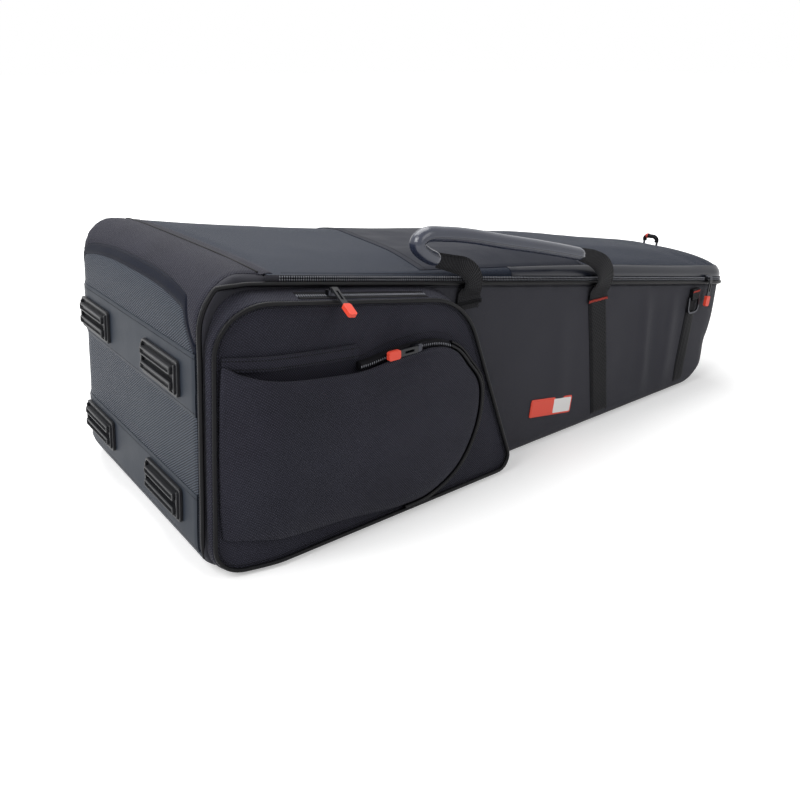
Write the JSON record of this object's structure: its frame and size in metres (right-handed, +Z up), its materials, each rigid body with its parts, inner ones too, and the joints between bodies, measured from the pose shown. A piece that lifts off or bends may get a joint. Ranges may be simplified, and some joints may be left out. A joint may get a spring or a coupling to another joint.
{
  "type": "trombone case",
  "caption": "Padded tapered trombone case lying on its side, with a hinged zipped lid, outside pockets, carrying handles, strap rings, moulded feet and a fitted padded interior.",
  "frame": {"origin": "on the flat underside, at mid length and mid width of the body of the case", "axes": "+X along the case from the wide bell end to the narrow end, -Y to the pocket side, +Z up through the lid"},
  "size_m": [0.9817, 0.4402, 0.3282],
  "materials": {
    "twill": "coated woven nylon, near black",
    "lid_fabric": "coated woven nylon, dark grey",
    "end_weave": "coarse grey abrasion-proof weave",
    "leatherette": "semi-gloss grained leatherette",
    "vinyl": "fine-grained grey vinyl",
    "piping": "black corded piping",
    "coil": "dark nylon coil",
    "webbing": "ribbed black webbing",
    "red_thread": "dense red stitching",
    "moulded": "black moulded plastic",
    "gunmetal": "dark plated metal",
    "soft_tip": "red-orange soft moulding",
    "padding": "foam covered in dark plush",
    "tag": "plain dark rubber tag"
  },
  "bodies": {
    "case": {"case_shell": "twill", "bell_end_fabric": "end_weave", "bell_end_band": "leatherette", "bell_top_wrap": "twill", "bell_strip_lower": "vinyl", "bell_strip_upper": "vinyl", "foot_front_lower": "moulded", "foot_rear_lower": "moulded", "foot_front_upper": "moulded", "foot_rear_upper": "moulded", "bell_cradle": "padding", "neck_block": "padding", "neck_band": "webbing", "main_zip_body_row": "coil", "rim_piping": "piping", "large_pocket": "twill", "large_pocket_piping": "piping", "large_pocket_zip": "coil", "small_pocket": "twill", "small_pocket_piping": "piping", "small_pocket_zip": "coil", "pocket_band": "twill", "front_strap_left": "webbing", "front_strap_right": "webbing", "front_bartack_left": "red_thread", "front_bartack_right": "red_thread", "front_ring_tab": "webbing", "front_ring_web": "webbing", "name_tag": "tag", "zip_end_tab": "twill", "rear_strap_left": "webbing", "rear_strap_right": "webbing", "rear_bartack_left": "red_thread", "rear_bartack_right": "red_thread", "slide_divider": "padding"},
    "lid": {"lid_panel": "lid_fabric", "main_zip_lid_row": "coil", "lid_patch": "leatherette", "lid_edge_band": "leatherette", "end_ring_tab": "webbing"},
    "front_handle": {"front_handle_grip": "leatherette", "front_handle_loop_left": "webbing", "front_handle_loop_right": "webbing"},
    "rear_handle": {"rear_handle_grip": "leatherette", "rear_handle_loop_left": "webbing", "rear_handle_loop_right": "webbing"},
    "front_main_slider": {"front_main_slider": "gunmetal"},
    "front_main_pull": {"front_main_pull": "moulded", "front_main_tip": "soft_tip"},
    "rear_main_slider": {"rear_main_slider": "gunmetal"},
    "rear_main_pull": {"rear_main_pull": "moulded", "rear_main_tip": "soft_tip"},
    "large_pocket_slider": {"large_pocket_slider": "gunmetal"},
    "large_pocket_pull": {"large_pocket_pull": "moulded", "large_pocket_tip": "soft_tip"},
    "small_pocket_slider": {"small_pocket_slider": "gunmetal"},
    "small_pocket_pull": {"small_pocket_pull": "moulded", "small_pocket_tip": "soft_tip"},
    "front_ring": {"front_ring": "gunmetal"},
    "end_ring": {"end_ring": "gunmetal"}
  },
  "joints": [
    {"name": "lid_hinge", "type": "hinge", "parent": "case", "child": "lid", "pos_m": [-0.38, 0, 0.3062], "axis": [0, -1, 0], "range_deg": [0, 90]},
    {"name": "front_handle_swing", "type": "hinge", "parent": "case", "child": "front_handle", "pos_m": [0.0143, -0.16102, 0.20952], "axis": [0.9842, 0.0891, -0.1533], "range_deg": [0, 70]},
    {"name": "rear_handle_swing", "type": "hinge", "parent": "case", "child": "rear_handle", "pos_m": [0.0143, 0.16102, 0.20812], "axis": [0.9842, -0.0891, -0.1533], "range_deg": [0, 75]},
    {"name": "front_main_slide", "type": "slide", "parent": "case", "child": "front_main_slider", "axis": [-0.9842, -0.0891, 0.1533], "range_m": [0, 0.235]},
    {"name": "front_main_lift", "type": "hinge", "parent": "front_main_slider", "child": "front_main_pull", "pos_m": [0.41676, -0.13101, 0.17377], "axis": [-0.9842, -0.0891, 0.1533], "range_deg": [0, 95]},
    {"name": "rear_main_slide", "type": "slide", "parent": "case", "child": "rear_main_slider", "axis": [-0.9842, 0.0891, 0.1533], "range_m": [0, 0.235]},
    {"name": "rear_main_lift", "type": "hinge", "parent": "rear_main_slider", "child": "rear_main_pull", "pos_m": [0.41676, 0.13101, 0.17377], "axis": [0.9842, -0.0891, -0.1533], "range_deg": [0, 95]},
    {"name": "large_pocket_slide", "type": "slide", "parent": "case", "child": "large_pocket_slider", "axis": [0.9842, 0.0891, -0.1533], "range_m": [-0.028, 0.085]},
    {"name": "large_pocket_lift", "type": "hinge", "parent": "large_pocket_slider", "child": "large_pocket_pull", "pos_m": [-0.31328, -0.20604, 0.28216], "axis": [-0.9842, -0.0891, 0.1533], "range_deg": [0, 115]},
    {"name": "small_pocket_slide", "type": "slide", "parent": "case", "child": "small_pocket_slider", "axis": [-0.9959, -0.0902, 0], "range_m": [0, 0.045]},
    {"name": "small_pocket_lift", "type": "hinge", "parent": "small_pocket_slider", "child": "small_pocket_pull", "pos_m": [-0.22173, -0.22165, 0.20541], "axis": [0, 0, 1], "range_deg": [0, 95]},
    {"name": "front_ring_swing", "type": "hinge", "parent": "case", "child": "front_ring", "pos_m": [0.3838, -0.12772, 0.15126], "axis": [-0.9959, -0.0902, 0], "range_deg": [0, 120]},
    {"name": "end_ring_swing", "type": "hinge", "parent": "lid", "child": "end_ring", "pos_m": [0.49246, 0.054, 0.1832], "axis": [0, 1, 0], "range_deg": [0, 150]}
  ]
}
